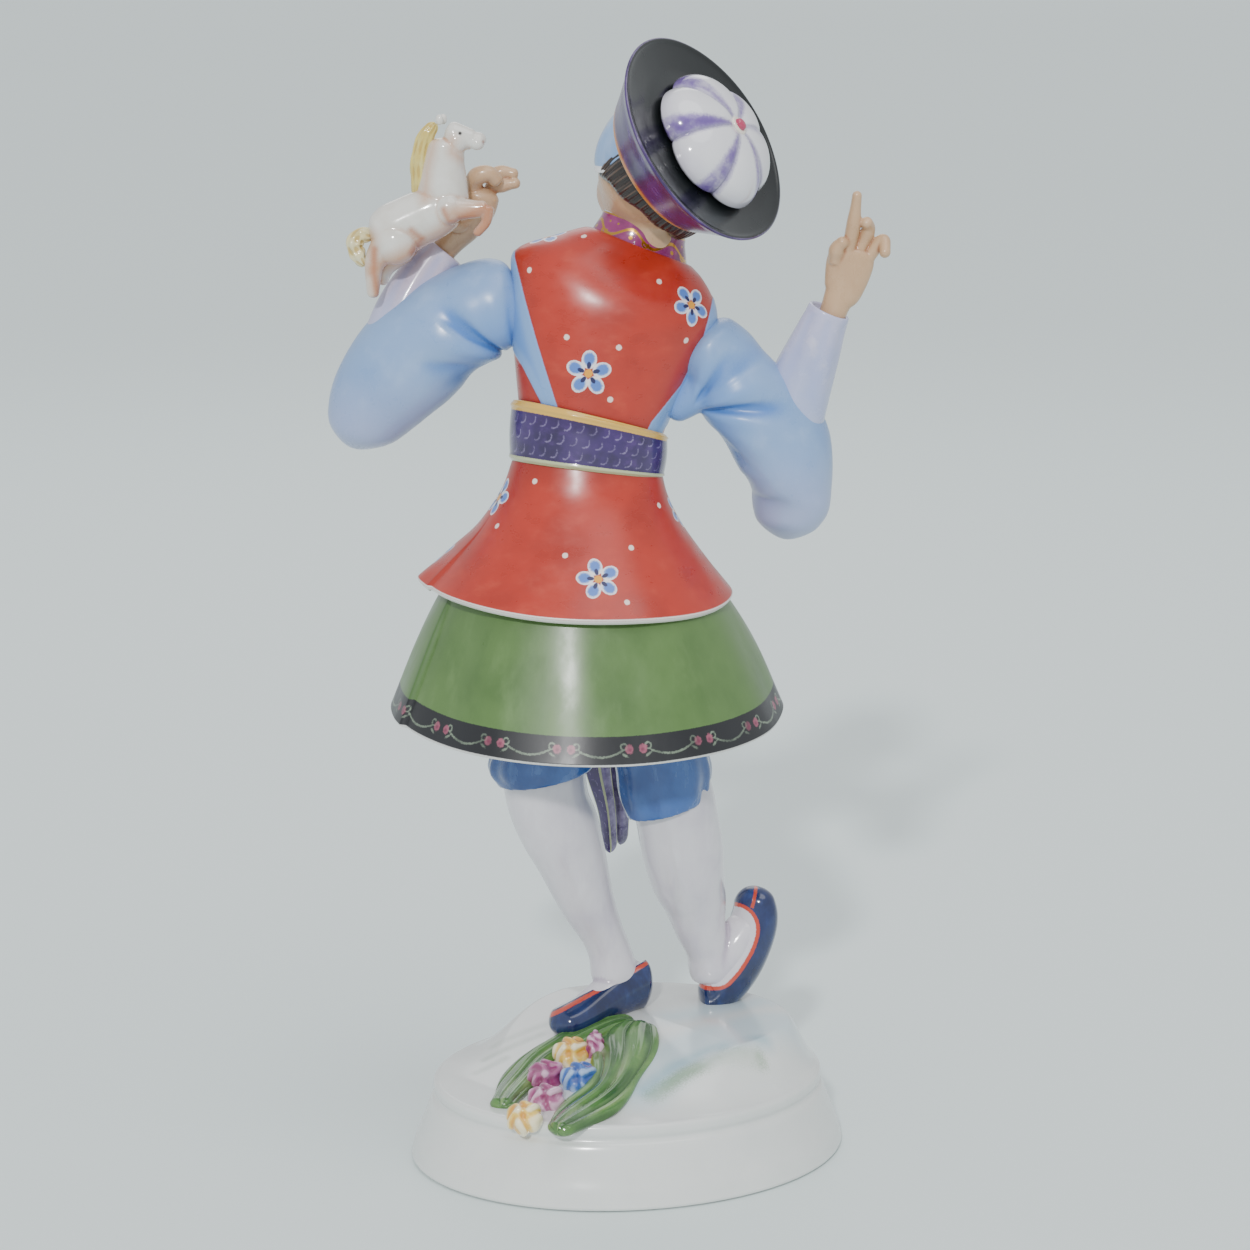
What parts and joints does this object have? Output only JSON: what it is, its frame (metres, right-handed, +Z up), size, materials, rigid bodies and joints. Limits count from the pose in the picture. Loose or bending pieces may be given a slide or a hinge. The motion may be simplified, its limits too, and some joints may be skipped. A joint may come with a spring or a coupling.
{
  "type": "porcelain figurine",
  "caption": "Hand-painted porcelain figurine of a dancer in a flared coat and tilted hat, holding up a toy horse, on an oval plinth with a bouquet.",
  "frame": {"origin": "on the plinth's flat underside, below the middle of its oval, where the figurine stands", "axes": "+Z up along the figure's height; +X along the plinth's long way, to the figure's right hand; +Y the way the figure faces"},
  "size_m": [0.1273, 0.1022, 0.2754],
  "materials": {
    "glaze_white": "gloss",
    "stocking_white": "gloss",
    "shoe_navy": "gloss",
    "breeches_blue": "satin",
    "skirt_green": "satin",
    "coat_red": "satin",
    "sash_purple": "satin",
    "collar_plum": "satin",
    "button_red": "gloss",
    "skin": "satin",
    "hair_brown": "satin",
    "cloth_blue": "satin",
    "cuff_lilac": "satin",
    "hat_dark": "satin",
    "horse_white": "gloss",
    "straw_yellow": "gloss",
    "leaf_green": "gloss",
    "petal_yellow": "gloss",
    "petal_pink": "gloss",
    "petal_blue": "gloss"
  },
  "bodies": {
    "root": {"plinth": "glaze_white", "hat_crown": "glaze_white", "stocking_left": "stocking_white", "stocking_right": "stocking_white", "shoe_left": "shoe_navy", "shoe_right": "shoe_navy", "breeches": "breeches_blue", "skirt": "skirt_green", "peplum": "coat_red", "torso": "coat_red", "belt": "sash_purple", "sash_tail_left": "sash_purple", "sash_tail_right": "sash_purple", "collar": "collar_plum", "hat_button": "button_red", "head": "skin", "hand_left": "skin", "hand_right": "skin", "hair": "hair_brown", "headcloth": "cloth_blue", "sleeve_left": "cloth_blue", "sleeve_right": "cloth_blue", "cuff_left": "cuff_lilac", "cuff_right": "cuff_lilac", "hat_brim": "hat_dark", "horse_body": "horse_white", "horse_mane": "straw_yellow", "horse_tail": "straw_yellow", "bouquet_leaf_right": "leaf_green", "bouquet_leaf_left": "leaf_green", "blossom_yellow_lower": "petal_yellow", "blossom_yellow_upper": "petal_yellow", "blossom_pink_lower": "petal_pink", "blossom_pink_upper": "petal_pink", "bud_pink": "petal_pink", "blossom_blue": "petal_blue"}
  },
  "joints": []
}
